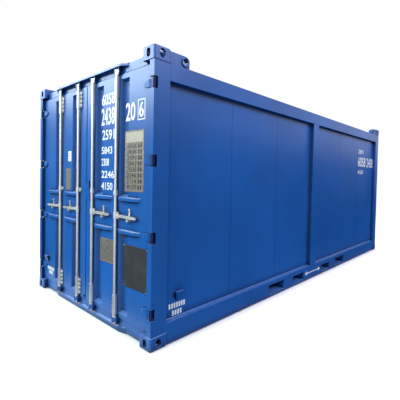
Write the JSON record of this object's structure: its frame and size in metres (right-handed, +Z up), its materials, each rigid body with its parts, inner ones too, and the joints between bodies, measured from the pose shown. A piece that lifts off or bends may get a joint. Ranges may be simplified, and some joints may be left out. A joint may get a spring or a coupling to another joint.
{
  "type": "shipping container",
  "caption": "Blue offshore freight container with hinged double doors, lock rods and lift handles, fork pockets, corner castings and pad eyes.",
  "frame": {"origin": "middle of the rectangle under the bottom corner castings, on the ground", "axes": "+X across, to the right seen from the doors; +Y along, away from the doors; +Z up"},
  "size_m": [2.438, 6.058, 2.591],
  "materials": {
    "blue_enamel": "gloss",
    "galvanised_steel": "satin",
    "floor_plywood": "matt"
  },
  "bodies": {
    "frame": {"bottom_corner_castings": "blue_enamel", "top_corner_castings": "blue_enamel", "right_door_post": "blue_enamel", "left_door_post": "blue_enamel", "rear_posts": "blue_enamel", "right_top_rail": "blue_enamel", "left_top_rail": "blue_enamel", "right_bottom_rail": "blue_enamel", "left_bottom_rail": "blue_enamel", "mid_posts": "blue_enamel", "right_side_panel": "blue_enamel", "left_side_panel": "blue_enamel", "rear_panel": "blue_enamel", "rear_top_rail": "blue_enamel", "rear_bottom_rail": "blue_enamel", "door_header": "blue_enamel", "door_sill": "blue_enamel", "roof": "blue_enamel", "floor": "floor_plywood", "cross_members": "blue_enamel", "fork_pockets": "blue_enamel", "pad_eyes": "blue_enamel", "eave_plate": "blue_enamel", "sill_plate": "blue_enamel", "upper_cam_keepers": "blue_enamel", "lower_cam_keepers": "blue_enamel", "hinge_pins": "galvanised_steel", "side_tag_lug": "blue_enamel"},
    "right_door": {"right_door_frame": "blue_enamel", "right_door_skin": "blue_enamel", "right_hinge_blades": "blue_enamel", "right_handle_guards": "blue_enamel", "right_rod_brackets": "galvanised_steel", "right_handle_catches": "galvanised_steel", "right_lock_plate": "blue_enamel"},
    "left_door": {"left_door_frame": "blue_enamel", "left_door_skin": "blue_enamel", "left_hinge_blades": "blue_enamel", "left_handle_guards": "blue_enamel", "left_rod_brackets": "galvanised_steel", "left_handle_catches": "galvanised_steel", "door_tag_lug": "blue_enamel"},
    "right_inner_rod": {"right_inner_lock_rod": "galvanised_steel"},
    "right_inner_handle": {"right_inner_handle": "galvanised_steel"},
    "right_outer_rod": {"right_outer_lock_rod": "galvanised_steel"},
    "right_outer_handle": {"right_outer_handle": "galvanised_steel"},
    "left_inner_rod": {"left_inner_lock_rod": "galvanised_steel"},
    "left_inner_handle": {"left_inner_handle": "galvanised_steel"},
    "left_outer_rod": {"left_outer_lock_rod": "galvanised_steel"},
    "left_outer_handle": {"left_outer_handle": "galvanised_steel"}
  },
  "joints": [
    {"name": "right_door_hinge", "type": "hinge", "parent": "frame", "child": "right_door", "pos_m": [1.195, -3.009, 0], "axis": [0, 0, 1], "range_deg": [0, 250]},
    {"name": "left_door_hinge", "type": "hinge", "parent": "frame", "child": "left_door", "pos_m": [-1.195, -3.009, 0], "axis": [0, 0, -1], "range_deg": [0, 250]},
    {"name": "right_inner_rod_turn", "type": "hinge", "parent": "right_door", "child": "right_inner_rod", "pos_m": [0.162, -3.0085, 0], "axis": [0, 0, 1], "range_deg": [-105, 0]},
    {"name": "right_inner_handle_lift", "type": "hinge", "parent": "right_inner_rod", "child": "right_inner_handle", "pos_m": [0.199, -3.0165, 1.115], "axis": [0, 1, 0], "range_deg": [-15, 0]},
    {"name": "right_outer_rod_turn", "type": "hinge", "parent": "right_door", "child": "right_outer_rod", "pos_m": [0.62, -3.0085, 0], "axis": [0, 0, 1], "range_deg": [-105, 0]},
    {"name": "right_outer_handle_lift", "type": "hinge", "parent": "right_outer_rod", "child": "right_outer_handle", "pos_m": [0.657, -3.0165, 1.115], "axis": [0, 1, 0], "range_deg": [-15, 0]},
    {"name": "left_inner_rod_turn", "type": "hinge", "parent": "left_door", "child": "left_inner_rod", "pos_m": [-0.162, -3.0085, 0], "axis": [0, 0, -1], "range_deg": [-105, 0]},
    {"name": "left_inner_handle_lift", "type": "hinge", "parent": "left_inner_rod", "child": "left_inner_handle", "pos_m": [-0.199, -3.0165, 1.115], "axis": [0, -1, 0], "range_deg": [-15, 0]},
    {"name": "left_outer_rod_turn", "type": "hinge", "parent": "left_door", "child": "left_outer_rod", "pos_m": [-0.62, -3.0085, 0], "axis": [0, 0, -1], "range_deg": [-105, 0]},
    {"name": "left_outer_handle_lift", "type": "hinge", "parent": "left_outer_rod", "child": "left_outer_handle", "pos_m": [-0.657, -3.0165, 1.115], "axis": [0, -1, 0], "range_deg": [-15, 0]}
  ]
}
